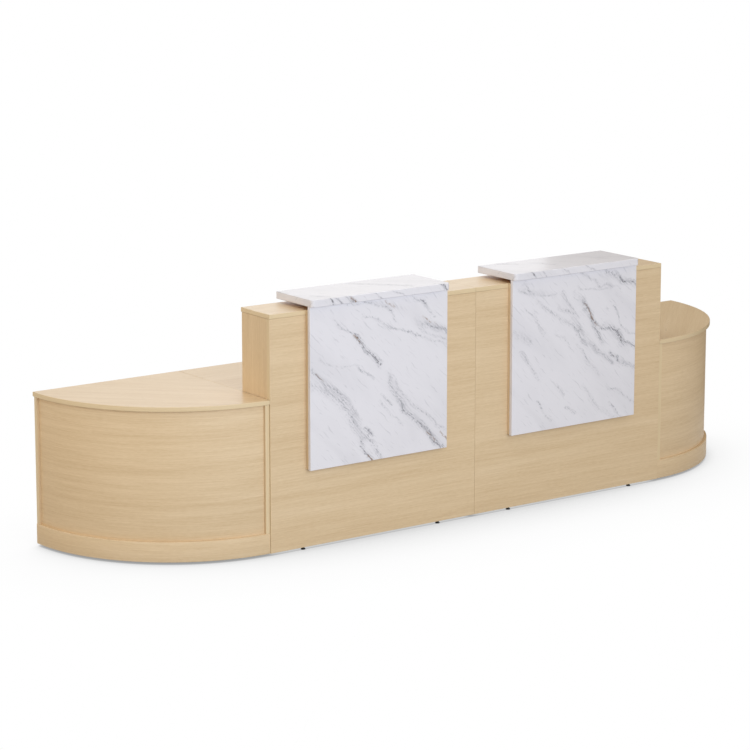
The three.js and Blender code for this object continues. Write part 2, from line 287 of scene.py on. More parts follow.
marblePrint = {
    "white": "#E6E3E8",
    "vein": "#9C9BA3",
    "core": "#6E6865",
    "brown": "#8A6A4C",
    "reach": 1.2,  # the sheet is measured along and across the veins over this length, metres
    "slope": -45,  # degrees, from the sheet's own x to the veins
    "stray": 0.012,  # how far the veins wander, metres
    "wander": {"noise_dimensions": "2D", "Scale": 12, "Detail": 4, "Roughness": 0.55},
    "fade": 0.03,  # past each end of a strand, metres
    "widths": (0.6, 3.0),  # of the dark core and of the grey feathered round it, by the strand's own
    "corePower": 1.8,  # weak strands have hardly any core
    "noise": {"noise_dimensions": "2D", "Scale": 1, "Detail": 2, "Distortion": 0.3},
    "mottle": {  # length along the veins and width across them in metres, noise range, range of strength
        "streak": (0.080, 0.007, 0.44, 0.62, 0.06, 0.40),
        "blotch": (0.030, 0.009, 0.38, 0.56, 0.0, 0.78),
        "speck": (0.014, 0.009, 0.58, 0.64, 0.0, 0.55),
        "thread": (0.090, 0.009, 0.64, 0.80, 0.0, 0.14),
        "cloud": (0.400, 0.130, 0.45, 0.75, 0.0, 0.05),
        "wash": (0.090, 0.006, 0.42, 0.60, 0.03, 0.22),
    },
    "roughness": 0.24,
    "sheen": 0.06,  # how much rougher the dark print is
    "ior": 1.5,
}
# Each strand of a vein, wash or fleck: half width in mm, then points in mm from the left and down,
# with a strength
veins = {
    "left_counter_drop": (
        (4, (120, 58, .1), (148, 80, .35), (180, 112, .45), (212, 134, .5), (240, 146, .6), (260, 160, .75)),
        (8, (255, 155, .5), (276, 186, 1), (296, 210, .85), (320, 238, .75), (344, 258, .75), (372, 282, .8),
         (394, 306, .9), (408, 322, .2)),
        (9, (452, 360, .15), (458, 400, .4), (464, 428, .45), (484, 460, .35), (504, 488, .4), (524, 524, .5),
         (544, 556, .65), (576, 588, .5), (616, 620, .55), (640, 636, .65), (672, 668, .6), (700, 704, 1),
         (724, 736, .7), (752, 760, .6), (780, 776, .5)),
        (6, (480, 392, .1), (512, 448, .3), (544, 492, .3), (588, 532, .3), (632, 564, .35), (672, 596, .3),
         (712, 624, .3), (744, 660, .45), (780, 680, .2)),
        (6, (20, 312, .4), (52, 340, .5), (80, 364, .2), (120, 392, .3), (160, 420, .4), (192, 448, .35),
         (216, 480, .3), (240, 508, .35), (264, 540, .4), (284, 568, .2)),
        (15, (16, 372, .2), (72, 390, .3), (128, 430, .35), (184, 478, .35), (224, 532, .3), (256, 592, .3),
         (296, 656, .15)),
        (6, (216, 552, .15), (236, 596, .3), (264, 632, .3), (288, 664, .35), (298, 700, .8), (312, 728, .75),
         (332, 752, .9), (352, 774, 1)),
        (8, (320, 652, .4), (344, 668, .5), (360, 696, .4), (376, 724, .45), (388, 752, .5), (408, 776, .4)),
        (5, (312, 80, .3), (352, 84, .3), (392, 100, .35), (424, 124, .5), (460, 148, .6), (512, 164, .35),
         (560, 178, .5), (592, 188, .5), (640, 212, .3), (696, 232, .25), (752, 248, .25), (796, 264, .2)),
        (5, (200, 2, .3), (264, 12, .3), (320, 12, .35), (360, 26, .3), (408, 38, .3), (448, 52, .4),
         (472, 80, .45), (484, 112, .3)),
        (6, (616, 32, .4), (652, 40, .6), (672, 64, .5), (688, 84, .3), (712, 108, .3)),
        (10, (632, 152, .2), (680, 164, .35), (736, 180, .45), (800, 200, .5)),
        (4, (648, 188, .25), (704, 210, .25), (752, 228, .25), (796, 244, .25)),
        (4, (64, 264, .2), (96, 280, .2), (144, 296, .15), (208, 306, .2), (264, 304, .35), (280, 324, .5),
         (308, 344, .5), (348, 366, .4)),
        (4, (424, 480, .4), (456, 504, .4)),
        (4, (416, 512, .3), (448, 552, .3), (472, 580, .3), (496, 584, .3), (520, 612, .3)),
        (7, (328, 626, .6), (344, 640, .6)),
    ),
    "right_counter_drop": (
        (7, (400, 104, .2), (440, 132, .35), (468, 172, .8), (484, 192, .8), (500, 228, .9), (520, 252, 1),
         (544, 272, .8), (576, 300, .6), (608, 308, .6), (640, 308, .7), (672, 328, .9), (692, 352, .9),
         (712, 376, .8), (736, 392, .7), (768, 404, .6), (800, 424, .6)),
        (10, (600, 296, .4), (640, 308, .6), (680, 332, .7), (696, 364, .7), (712, 400, .35)),
        (8, (472, 204, .4), (504, 240, .3), (528, 296, .45), (552, 336, .55), (576, 364, .3)),
        (7, (160, 120, .15), (192, 148, .3), (232, 180, .4), (272, 204, .3), (320, 232, .3), (360, 248, .3),
         (392, 272, .4), (416, 304, .55), (440, 336, .5), (480, 368, .35), (520, 384, .4), (560, 416, .4),
         (600, 448, .45), (640, 480, .4)),
        (9, (392, 248, .25), (424, 280, .3), (456, 320, .25)),
        (7, (648, 448, .7), (680, 460, .8), (692, 484, .5), (720, 496, .4), (760, 516, .4), (800, 532, .4)),
        (6, (304, 176, .3), (352, 192, .35), (392, 204, .4), (416, 216, .3)),
        (6, (328, 104, .4), (344, 124, .3), (368, 164, .3), (400, 196, .2)),
        (5, (48, 60, .2), (104, 76, .35), (160, 84, .3), (208, 92, .3), (264, 95, .25), (288, 96, .1)),
        (4, (432, 86, .25), (480, 94, .3), (544, 98, .3), (608, 98, .25), (680, 98, .2)),
        (7, (560, 88, .4), (592, 76, .35), (624, 84, .4)),
        (10, (616, 20, .5), (656, 36, .5), (688, 56, .5), (712, 76, .7), (744, 80, .7), (780, 92, .5)),
        (5, (432, 4, .3), (472, 28, .3), (512, 48, .3), (532, 52, .3)),
        (10, (84, 36, .3), (100, 60, .35), (120, 76, .3)),
        (3, (92, 164, .45), (120, 180, .45)),
        (6, (140, 196, .3), (156, 224, .3), (172, 248, .3), (192, 276, .4)),
        (11, (24, 272, .2), (64, 288, .25), (104, 308, .2)),
        (6, (64, 376, .5), (84, 396, .4), (112, 432, .3), (136, 472, .3), (168, 512, .2)),
        (4, (288, 308, .2), (328, 324, .25), (352, 352, .25), (376, 388, .2)),
        (4, (424, 376, .2), (456, 408, .3), (476, 440, .6)),
        (6, (480, 456, .2), (520, 496, .2), (552, 528, .2)),
        (4, (664, 212, .5), (684, 248, .4), (696, 288, .4), (720, 320, .4), (760, 344, .4), (800, 352, .4)),
        (7, (464, 592, .2), (504, 640, .25), (536, 684, .25), (576, 716, .2), (624, 744, .2), (664, 772, .2)),
        (6, (624, 616, .3), (672, 628, .35), (720, 656, .25), (760, 684, .25), (800, 712, .25)),
        (6, (640, 704, .3), (672, 736, .35), (696, 768, .4)),
        (4, (180, 636, .4), (192, 672, .25), (216, 704, .2), (240, 724, .2)),
        (6, (296, 572, .35), (320, 596, .35)),
        (6, (360, 684, .4), (388, 704, .4)),
    ),
    "left_counter_slab": (
        (14, (400, 40, .3), (470, 110, .4), (540, 190, .5), (600, 250, .25)),
        (10, (70, 205, .3), (110, 250, .35)),
        (3, (96, 296, .7), (110, 318, .8), (118, 334, .4)),
        (4, (140, 310, .6), (158, 326, .7), (170, 334, .5)),
        (3, (190, 300, .5), (208, 316, .6), (222, 330, .6)),
        (5, (228, 320, .8), (244, 332, .9)),
        (3, (350, 300, .5), (374, 316, .5), (396, 330, .4)),
        (3, (460, 300, .4), (490, 316, .5), (520, 326, .3)),
        (5, (740, 296, .8), (760, 312, .9), (784, 334, .9)),
    ),
    "right_counter_slab": (
        (10, (96, 6, .3), (136, 32, .4), (176, 62, .3)),
        (9, (264, 90, .2), (300, 130, .4), (320, 180, .3)),
        (8, (620, 160, .2), (650, 190, .3)),
        (3, (96, 296, .5), (112, 314, .6)),
        (3, (170, 300, .5), (184, 316, .5)),
        (3, (300, 306, .4), (336, 326, .4)),
        (3, (440, 298, .4), (476, 316, .5), (500, 328, .4)),
    ),
}
greyWashes = {
    "left_counter_drop": (
        (13, (15, 311, .3), (78, 366, .55), (159, 424, .7), (217, 488, .7), (252, 560, .6), (286, 622, .5),
         (304, 673, .3)),
        (10, (471, 414, .25), (517, 498, .45), (586, 576, .45), (656, 645, .5), (736, 726, .4)),
        (12, (620, 130, .3), (702, 161, .5), (796, 203, .55)),
        (8, (330, 8, .3), (420, 28, .4), (480, 50, .45), (530, 80, .25)),
        (7, (270, 176, .3), (300, 220, .5), (344, 268, .5), (390, 310, .3)),
    ),
    "right_counter_drop": (
        (14, (340, 150, .2), (400, 240, .4), (436, 300, .6), (470, 350, .6), (514, 389, .5), (570, 430, .45),
         (644, 474, .45), (710, 505, .2)),
        (10, (436, 146, .2), (480, 210, .4), (514, 266, .55), (579, 357, .5), (610, 390, .2)),
        (16, (610, 290, .3), (650, 320, .6), (690, 360, .7), (720, 400, .4), (745, 430, .2)),
        (8, (640, 440, .4), (690, 475, .5), (745, 505, .45), (800, 530, .4)),
        (10, (580, 30, .3), (640, 50, .3), (735, 74, .45), (790, 95, .4)),
        (8, (60, 60, .3), (124, 68, .4), (254, 95, .3)),
    ),
}
brownFlecks = {
    "left_counter_drop": (
        (3, (264, 176, .9), (280, 192, .9)),
        (3, (668, 128, .7), (688, 138, 1), (708, 148, 1), (724, 152, .5)),
        (3, (452, 32, .7), (466, 36, .7)),
        (3, (694, 698, .8), (708, 712, .8)),
        (3, (774, 708, .9), (786, 718, .9)),
        (3, (344, 766, .7), (354, 776, .7)),
        (2, (50, 336, .6), (58, 344, .6)),
    ),
    "right_counter_drop": (
        (3, (474, 180, .7), (492, 210, .8), (520, 254, .8), (536, 268, .6)),
    ),
    "left_counter_slab": ((3, (236, 324, .9), (250, 334, .9)),),
}


def addStrand(tree, along, across, strand, totals):
    reach = marblePrint["reach"]
    halfWidth, points = strand[0] / 1000 / reach, strand[1:]
    centre = addNode(tree, "ShaderNodeFloatCurve", {}, {"Value": along})
    weight = addNode(tree, "ShaderNodeFloatCurve", {}, {"Value": along})
    scale = 1000 * math.sqrt(2) * reach
    line = [((x + y) / scale, (y - x) / scale + 0.5, strength) for x, y, strength in points]
    fade = marblePrint["fade"] / reach
    line = [(line[0][0] - fade, line[0][1], 0), *line, (line[-1][0] + fade, line[-1][1], 0)]
    for node, item in ((centre, 1), (weight, 2)):
        curve = node.mapping.curves[0]
        while len(curve.points) > 2:
            curve.points.remove(curve.points[-1])
        for at, point in enumerate(line):
            spot = curve.points[at] if at < 2 else curve.points.new(point[0], point[item])
            spot.location = (point[0], point[item])
        node.mapping.use_clip = False
        node.mapping.update()
    off = addMath(tree, "ABSOLUTE", addMath(tree, "SUBTRACT", across, centre.outputs[0]))
    grown = []
    for total, widen in zip(totals, marblePrint["widths"]):
        body = addNode(tree, "ShaderNodeMapRange",
                       {"interpolation_type": "SMOOTHSTEP", 2: widen * halfWidth, 3: 1, 4: 0}, {0: off})
        body = addMath(tree, "MULTIPLY", body.outputs[0], weight.outputs[0])
        grown.append(addMath(tree, "MAXIMUM", total, body) if total else body)
    return grown


def addStrands(tree, flow, strands):  # the darkest core and feather of them all
    totals = [None, None]
    for strand in strands:
        totals = addStrand(tree, flow["X"], flow["Y"], strand, totals)
    return totals


def makeMarble(name, strands, washes, flecks):
    roughness = marblePrint["roughness"]
    material, tree, shader = newMaterial(name, {"Roughness": roughness, "IOR": marblePrint["ior"]})
    reach = marblePrint["reach"]
    sheet = addNode(tree, "ShaderNodeUVMap", {"uv_map": "sheet"}).outputs["UV"]
    bend = addNode(tree, "ShaderNodeTexNoise", marblePrint["wander"], {"Vector": sheet})
    bend = addNode(tree, "ShaderNodeVectorMath", {"operation": "SUBTRACT", 1: (0.5, 0.5, 0.5)},
                   {0: bend.outputs["Color"]})
    bend = addNode(tree, "ShaderNodeVectorMath", {"operation": "SCALE", "Scale": 2 * marblePrint["stray"]},
                   {0: bend.outputs[0]})
    bent = addNode(tree, "ShaderNodeVectorMath", {"operation": "ADD"}, {0: sheet, 1: bend.outputs[0]})
    flow = addNode(tree, "ShaderNodeMapping",  # x along the veins, y across them
                   {"vector_type": "POINT", "Location": (0, 0.5, 0),
                    "Rotation": (0, 0, math.radians(marblePrint["slope"])),
                    "Scale": (1 / reach, 1 / reach, 1)},
                   {"Vector": bent.outputs[0]})
    flowParts = addNode(tree, "ShaderNodeSeparateXYZ", {}, {0: flow.outputs[0]}).outputs

    # mottle drawn along the veins: streaks and specks in them, broken cores, faint threads over the sheet
    mottle = {}
    for kind, (length, width, low, high, least, most) in marblePrint["mottle"].items():
        place = addNode(tree, "ShaderNodeMapping", {"Scale": (reach / length, reach / width, 1)},
                        {"Vector": flow.outputs[0]})
        noise = addNode(tree, "ShaderNodeTexNoise", marblePrint["noise"], {"Vector": place.outputs[0]})
        mottle[kind] = addNode(tree, "ShaderNodeMapRange", {1: low, 2: high, 3: least, 4: most},
                               {0: noise.outputs[0]}).outputs[0]
    core, feather = addStrands(tree, flowParts, strands)
    core = addMath(tree, "POWER", core, marblePrint["corePower"])
    dark = addMath(tree, "MULTIPLY", core, mottle["blotch"])
    wash = addStrands(tree, flowParts, washes)[1]
    for part, kind in ((feather, "streak"), (feather, "speck"), (wash, "wash")):
        if part:
            dark = addMath(tree, "MULTIPLY_ADD", part, mottle[kind], dark)
    for kind in ("thread", "cloud"):
        dark = addMath(tree, "ADD", dark, mottle[kind])
    stops = [(at / 2, toLinear(marblePrint[tone])) for at, tone in enumerate(("white", "vein", "core"))]
    colour = addRamp(tree, dark, stops)
    if flecks:
        fleck = addStrands(tree, flowParts, flecks)[1]
        mixed = addNode(tree, "ShaderNodeMix", {"data_type": "RGBA", 7: toLinear(marblePrint["brown"])},
                        {0: addMath(tree, "MULTIPLY", fleck, mottle["blotch"]), 6: colour})
        colour = mixed.outputs[2]
    tree.links.new(colour, shader.inputs["Base Color"])
    addRoughness(tree, shader, dark, (roughness, roughness + marblePrint["sheen"]))
    return material


# Smaller parts: moulded black polypropylene, zinc-plated steel, planed softwood, and the brown balancing
# paper that is pressed on the hidden side of the counter boards and warms the gap behind them

plastic = {
    "colour": "#121213",
    "ior": 1.49,
    "roughness": (0.42, 0.58),
    "noise": {"Scale": 1 / 0.0006, "Detail": 1},
    "dimples": {"Distance": 0.00004, "Strength": 0.4},
}
zinc = {"colour": "#C4C6C8", "roughness": (0.22, 0.42), "noise": {"Scale": 1 / 0.004, "Detail": 3}}
backing = {
    "colour": "#DCAA6C",
    "levels": (0.93, 1.07),  # between the thin and the thick fibres
    "roughness": 0.7,
    "noise": {"Scale": 1 / 0.02, "Detail": 3},
}
softwood = {
    "early": (0.38, "#DCC199"),  # where it stands in the noise, and colour
    "late": (0.62, "#C2996A"),
    "ring": 0.004,  # metres
    "length": 0.5,
    "noise": {"noise_dimensions": "2D", "Scale": 1, "Detail": 2},
    "fuzz": {"Distance": 0.0001, "Strength": 0.3},
    "roughness": 0.65,
    "ior": 1.5,
}


def addCloud(tree, noise):  # noise on the piece's own coordinates
    place = addNode(tree, "ShaderNodeTexCoord").outputs["Object"]
    return addNode(tree, "ShaderNodeTexNoise", noise, {"Vector": place}).outputs[0]


backingPaper, tree, shader = newMaterial("kraft balancing paper, pressed",
                                         {"Roughness": backing["roughness"]})
stops = [(at, (*(level * part for part in toLinear(backing["colour"])[:3]), 1))
         for at, level in enumerate(backing["levels"])]
brown = addRamp(tree, addCloud(tree, backing["noise"]), stops)
place = addNode(tree, "ShaderNodeTexCoord").outputs["Object"]
depth = addNode(tree, "ShaderNodeSeparateXYZ", {}, {0: place}).outputs["Y"]
# the laminate is wrapped under the slab as far as the drop panel
nose = addMath(tree, "LESS_THAN", depth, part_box("left_counter_drop")[0].y)
mixed = addNode(tree, "ShaderNodeMix", {"data_type": "RGBA", 7: toLinear(marblePrint["white"])},
                {0: nose, 6: brown})
tree.links.new(mixed.outputs[2], shader.inputs["Base Color"])

blackPlastic, tree, shader = newMaterial("black polypropylene, moulded", {"IOR": plastic["ior"]})
shader.inputs["Base Color"].default_value = toLinear(plastic["colour"])
grit = addCloud(tree, plastic["noise"])
addRoughness(tree, shader, grit, plastic["roughness"])
dimples = addNode(tree, "ShaderNodeBump", plastic["dimples"], {"Height": grit})
tree.links.new(dimples.outputs[0], shader.inputs["Normal"])

zincSteel, tree, shader = newMaterial("steel, zinc plated", {"Metallic": 1})
shader.inputs["Base Color"].default_value = toLinear(zinc["colour"])
addRoughness(tree, shader, addCloud(tree, zinc["noise"]), zinc["roughness"])

planedPine, tree, shader = newMaterial("pine, planed",
                                       {"Roughness": softwood["roughness"], "IOR": softwood["ior"]})
grain = addNode(tree, "ShaderNodeUVMap", {"uv_map": "grain"})
place = addNode(tree, "ShaderNodeMapping", {"Scale": (1 / softwood["length"], 1 / softwood["ring"], 1)},
                {"Vector": grain.outputs[0]})
rings = addNode(tree, "ShaderNodeTexNoise", softwood["noise"], {"Vector": place.outputs[0]})
stops = [(place, toLinear(colour)) for place, colour in (softwood["early"], softwood["late"])]
tree.links.new(addRamp(tree, rings.outputs[0], stops), shader.inputs["Base Color"])
fuzz = addNode(tree, "ShaderNodeBump", softwood["fuzz"], {"Height": rings.outputs[0]})
tree.links.new(fuzz.outputs[0], shader.inputs["Normal"])
print("materials made")


# Making of pieces

rounding = {
    "merge": 0.00001,  # corners nearer than this are one
    "flat": math.radians(0.5),  # faces that meet flatter than this are one
    "square": math.radians(60),  # edges sharper than this are arrises
    "shortest": 0.008,  # shorter edges are rims of drilled holes, and stay sharp
    "segments": 3,
    "flatWeight": 100,  # the large faces alone set the shading
}
looks = {  # how squarely a face has to look a given way, as a cosine
    "face": 0.9,
    "across": 0.7,
    "end": 0.5,
}


def addPiece(name, mesh, body, slot, *replaced):
    piece = bpy.data.objects.new(name, mesh)
    scene.collection.objects.link(piece)
    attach(piece, body)
    if replaced:
        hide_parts(*replaced)
    return piece


def takeMesh(work, name):
    mesh = bpy.data.meshes.new(name)
    work.to_mesh(mesh)
    work.free()
    return mesh


def hold(mesh):
    holder = bpy.data.objects.new("holder", mesh)
    scene.collection.objects.link(holder)
    return holder


def bake(holder, name):
    evaluated = holder.evaluated_get(bpy.context.evaluated_depsgraph_get())
    finished = bpy.data.meshes.new_from_object(evaluated)
    bpy.data.objects.remove(holder)
    finished.name = name
    return finished


def copyNode(node, arris):
    work = bmesh.new()
    work.from_mesh(nodes[node].data)
    bmesh.ops.remove_doubles(work, verts=work.verts, dist=rounding["merge"])
    bmesh.ops.dissolve_limit(work, angle_limit=rounding["flat"], verts=work.verts, edges=work.edges)
    weights = work.edges.layers.float.new("bevel_weight_edge")
    for edge in work.edges:
        square = edge.is_manifold and edge.calc_face_angle() > rounding["square"]
        edge.smooth = not square
        edge[weights] = float(square and edge.calc_length() > rounding["shortest"])
    mesh = takeMesh(work, node)
    for face in mesh.polygons:
        face.use_smooth = True
    holder = hold(mesh)
    rounded = holder.modifiers.new("arris", "BEVEL")
    rounded.limit_method = "WEIGHT"
    rounded.width = arris
    rounded.segments = rounding["segments"]
    weighted = holder.modifiers.new("flat faces", "WEIGHTED_NORMAL")
    weighted.weight = rounding["flatWeight"]
    weighted.keep_sharp = True
    finished = bake(holder, node)
    finished.materials.clear()
    return finished


def makeTree(name, inputs):
    tree = bpy.data.node_groups.new(name, "GeometryNodeTree")
    tree.interface.new_socket("Geometry", in_out="INPUT", socket_type="NodeSocketGeometry")
    tree.interface.new_socket("Geometry", in_out="OUTPUT", socket_type="NodeSocketGeometry")
    for label, kind in inputs.items():
        tree.interface.new_socket(label, in_out="INPUT", socket_type="NodeSocket" + kind)
    return tree, addNode(tree, "NodeGroupInput").outputs


def paint(tree, part, material):
    return addNode(tree, "GeometryNodeSetMaterial", {}, {"Geometry": part, "Material": material}).outputs[0]


def growMesh(name, base, tree, values):
    holder = hold(base)
    modifier = holder.modifiers.new(tree.name, "NODES")
    modifier.node_group = tree
    for item in tree.interface.items_tree:
        if item.in_out == "INPUT" and item.name in values:
            modifier[item.identifier] = values[item.name]
    return bake(holder, name)


def meshBox(mesh):
    return [Vector([limit(v.co[axis] for v in mesh.vertices) for axis in range(3)]) for limit in (min, max)]


def layGrain(mesh, way, shift, pivot=None, radius=1.0):
    low, high = meshBox(mesh)
    spans = high - low
    layer = mesh.uv_layers.new(name="grain")
    for face in mesh.polygons:
        normal = face.normal
        run = way - normal * way.dot(normal)
        if run.length < looks["end"]:  # an end of the board: along its longer side
            longest = max(range(3), key=lambda axis: spans[axis] * (abs(normal[axis]) < looks["across"]))
            run = Vector([float(axis == longest) for axis in range(3)])
            run -= normal * run.dot(normal)
        run.normalize()
        acrossRun = normal.cross(run)
        for corner in face.loop_indices:
            point = mesh.vertices[mesh.loops[corner].vertex_index].co
            if pivot and abs(normal.z) < looks["across"]:  # round the bend
                out = Vector((point.x - pivot[0], point.y - pivot[1]))
                place = (math.atan2(out.y, out.x) * radius, point.z)
            else:
                place = (point.dot(run), point.dot(acrossRun))
            layer.data[corner].uv = (place[0] + shift[0], place[1] + shift[1])


def edgeFaces(mesh, thin):
    for face in mesh.polygons:
        face.material_index = int(abs(face.normal[thin]) < looks["face"])


# Flat boards: each is rounded along its arrises, edged, and printed along its own grain

boards = {
    "arris": 0.0007,
    "ways": {  # which way the grain runs
        "front_panel": "x",
        "worktop": "x",
        "riser_top": "x",
        "curved_side_panel": "z",
        "curved_rear_panel": "z",
        "curved_base": "x",
        "curved_worktop": "chord",
    },
    "endWays": {"end_panel": "z", "riser_side": "z"},  # boards at both ends of a straight unit
    "tops": ("worktop", "riser_top", "curved_worktop"),
    "shiftStep": (3.17, 1.43),  # metres between boards on the printed sheet
}
deskRadius = (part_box("left_curved_worktop")[1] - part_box("left_curved_worktop")[0]).y
ways = {"x": Vector((1, 0, 0)), "y": Vector((0, 1, 0)), "z": Vector((0, 0, 1))}
order = 0


def sheetShift(order):
    return [order * step for step in boards["shiftStep"]]


for sideName, side in sides.items():
    kinds = {f"{sideName}_{kind}": kind for kind in boards["ways"]}
    kinds |= {f"{sideName}_{end}_{kind}": kind for end in ends for kind in boards["endWays"]}
    for name, kind in kinds.items():
        mesh = copyNode(name, boards["arris"])
        low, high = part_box(name)
        size = high - low
        way = (boards["ways"] | boards["endWays"])[kind]
        way = Vector((1, side, 0)).normalized() if way == "chord" else ways[way]
        pivot = None
        if kind in ("curved_worktop", "curved_base"):
            pivot = (low.x if side > 0 else high.x, high.y)
        order += 1
        layGrain(mesh, way, sheetShift(order), pivot, deskRadius)
        mesh.materials.append(beechTop if kind in boards["tops"] else beechFace)
        mesh.materials.append(beechEdge)
        edgeFaces(mesh, min(range(3), key=lambda axis: size[axis]))
        addPiece(f"{name}.dressed", mesh, "desk", "beech_board", name)
print("boards dressed:", order)


# Bent fronts and plinths: a rounded strip swept round the back corner of the seam

bends = {
    "arris": {"curved_front": 0.0008, "plinth": 0.0012},
    "steps": 96,
    "arrisSteps": 3,
    "unitGap": 0.001,  # between two units at a seam
    "clear": 0.3,  # this far from both ends, only the faces of the strip are left
}
bendTree, given = makeTree("bent strip", {
    "Radius": "Float", "Board": "Float", "Height": "Float", "Start": "Float", "Sweep": "Float",
    "Arris": "Float", "Steps": "Int", "Material": "Material"})
midRadius = addMath(bendTree, "MULTIPLY_ADD", given["Board"], -0.5, given["Radius"])
arc = addNode(bendTree, "GeometryNodeCurveArc", {},
              {"Resolution": given["Steps"], "Radius": midRadius,
               "Start Angle": given["Start"], "Sweep Angle": given["Sweep"]})
strip = addNode(bendTree, "GeometryNodeCurvePrimitiveQuadrilateral", {},
                {"Width": given["Board"], "Height": given["Height"]})
strip = addNode(bendTree, "GeometryNodeFilletCurve", {"mode": "POLY", "Count": bends["arrisSteps"]},
                {"Curve": strip.outputs[0], "Radius": given["Arris"]})
upright = addNode(bendTree, "GeometryNodeSetCurveNormal", {"mode": "Z_UP"}, {0: arc.outputs[0]})
swept = addNode(bendTree, "GeometryNodeCurveToMesh", {"Fill Caps": True},
                {"Curve": upright.outputs[0], "Profile Curve": strip.outputs[0]})
addNode(bendTree, "NodeGroupOutput", {}, {0: paint(bendTree, swept.outputs[0], given["Material"])})

for sideName, side in sides.items():
    topLow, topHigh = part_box(f"{sideName}_curved_worktop")
    seamX = (topHigh.x if side < 0 else topLow.x) - side * bends["unitGap"] / 2
    backY = topHigh.y
    for kind, arris in bends["arris"].items():
        name = f"{sideName}_{kind}"
        low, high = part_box(name)
        corners = [Vector((v.co.x - seamX, v.co.y - backY)) for v in nodes[name].data.vertices]
        outer = max(c.length for c in corners)
        inner = min(c.length for c in corners if min(abs(c.x), abs(c.y)) > bends["clear"])
        turns = [math.atan2(-c.y, abs(c.x)) for c in corners]  # from the back edge to the seam
        start, finish = min(turns), max(turns)
        first = -finish if side > 0 else math.pi + start
        mesh = growMesh(name, bpy.data.meshes.new(name), bendTree, {
            "Radius": outer, "Board": outer - inner, "Height": high.z - low.z, "Start": first,
            "Sweep": finish - start, "Arris": arris, "Steps": bends["steps"], "Material": beechFace})
        mesh.transform(Matrix.Translation((seamX, backY, (low.z + high.z) / 2)))
        order += 1
        layGrain(mesh, ways["z"], sheetShift(order), (seamX, backY), outer)
        for face in mesh.polygons:
            face.use_smooth = True
        addPiece(f"{name}.dressed", mesh, "desk", "beech_board", name)
print("bent strips swept")


# Counters: the print goes over the front arris, so the sheet is laid from the top or the front

counters = {
    "arris": 0.002,
    "battens": {"slab_batten": "y", "drop_batten": "z"},  # which way the grain runs
    "battenArris": 0.0015,
    "battenShift": (0.7, 0.3),  # metres between battens in the log
}


def layMarble(mesh, flat):
    low, high = meshBox(mesh)
    layer = mesh.uv_layers.new(name="sheet")
    for face in mesh.polygons:
        for corner in face.loop_indices:
            point = mesh.vertices[mesh.loops[corner].vertex_index].co
            across = point.x - low.x
            down = high.y - point.y if flat else high.z - point.z
            behind = high.z - point.z if flat else point.y - low.y
            if abs(face.normal.x) > looks["across"]:
                across += math.copysign(behind, face.normal.x)
            else:
                down += behind
            layer.data[corner].uv = (across, down)


for sideName in sides:
    for kind in ("counter_slab", "counter_drop"):
        name = f"{sideName}_{kind}"
        flat = kind == "counter_slab"
        mesh = copyNode(name, counters["arris"])
        layMarble(mesh, flat)
        mesh.materials.append(makeMarble(f"marble laminate, {name}", veins[name], greyWashes.get(name, ()),
                                         brownFlecks.get(name, ())))
        mesh.materials.append(backingPaper)
        hidden = -ways["z"] if flat else ways["y"]
        for face in mesh.polygons:
            face.material_index = int(face.normal.dot(hidden) > looks["face"])
        addPiece(f"{name}.dressed", mesh, "desk", "marble_board", name)
    for end in ends:
        for kind, way in counters["battens"].items():
            name = f"{sideName}_{end}_{kind}"
            mesh = copyNode(name, counters["battenArris"])
            order += 1
            layGrain(mesh, ways[way], [order * step for step in counters["battenShift"]])
            mesh.materials.append(planedPine)
            addPiece(f"{name}.dressed", mesh, "desk", "batten_wood", name)
print("counters dressed")


# Closing laths: a beech strip up each side behind a drop panel, so that the gap there looks shallow

lath = {"width": 0.014, "setIn": 0.002, "clearance": 0.0002, "arris": 0.0005, "segments": 2}
for sideName in sides:
    dropLow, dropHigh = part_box(f"{sideName}_counter_drop")
    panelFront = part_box(f"{sideName}_front_panel")[0].y
    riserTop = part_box(f"{sideName}_riser_top")[1].z
    low = Vector((0, dropHigh.y + lath["clearance"], dropLow.z + lath["setIn"]))
    high = Vector((lath["width"], panelFront - lath["clearance"], riserTop))
    starts = {"left": dropLow.x + lath["setIn"], "right": dropHigh.x - lath["setIn"] - lath["width"]}
    for edge, x in starts.items():
        work = bmesh.new()
        bmesh.ops.create_cube(work, size=1)
        bmesh.ops.scale(work, vec=high - low, verts=work.verts)
        bmesh.ops.translate(work, vec=(low + high) / 2 + Vector((x, 0, 0)), verts=work.verts)
        bmesh.ops.bevel(work, geom=work.edges, offset=lath["arris"], segments=lath["segments"],
                        affect="EDGES")
        name = f"{sideName}_{edge}_closing_lath"
        mesh = takeMesh(work, name)
        order += 1
        layGrain(mesh, ways["z"], sheetShift(order))
        mesh.materials.append(beechFace)
        addPiece(name, mesh, "desk", "beech_board")
print("closing laths placed")


# Levelling feet: a moulded foot with grip ribs and a spanner neck on a rolled steel stud

foot = {
    "rim": ((0, 0.0004), (0.0085, 0), (0.0098, 0.0003), (0.0106, 0.0011), (0.0106, 0.0044), (0.0103, 0.0050),
            (0.0078, 0.0064)),  # radius and height of the turned part
    "rimSteps": 36,
    "neckRadius": 0.007,
    "neckFoot": 0.006,
    "neckSides": 6,
    "clearance": 0.0003,  # under the board
    "ribs": 36,
    "ribRadius": 0.0004,
    "ribHeight": 0.0027,
    "ribSides": 6,
    "studRadius": 0.004,
    "studSides": 20,
    "sunk": 0.001,  # length of the stud in the neck
    "short": 0.0005,  # how far it stays below the top of its hole
    "pitch": 0.00125,
    "crest": 0.0004,
    "crestSides": 4,
    "turnSteps": 14,
    "sharp": math.radians(40),
}
ribTree, given = makeTree("ribs and thread", {
    "Rib Count": "Int", "Rim Radius": "Float", "Rib Radius": "Float", "Rib Height": "Float",
    "Stud Radius": "Float", "Stud Foot": "Float", "Stud Height": "Float", "Turns": "Float",
    "Plastic": "Material", "Steel": "Material"})


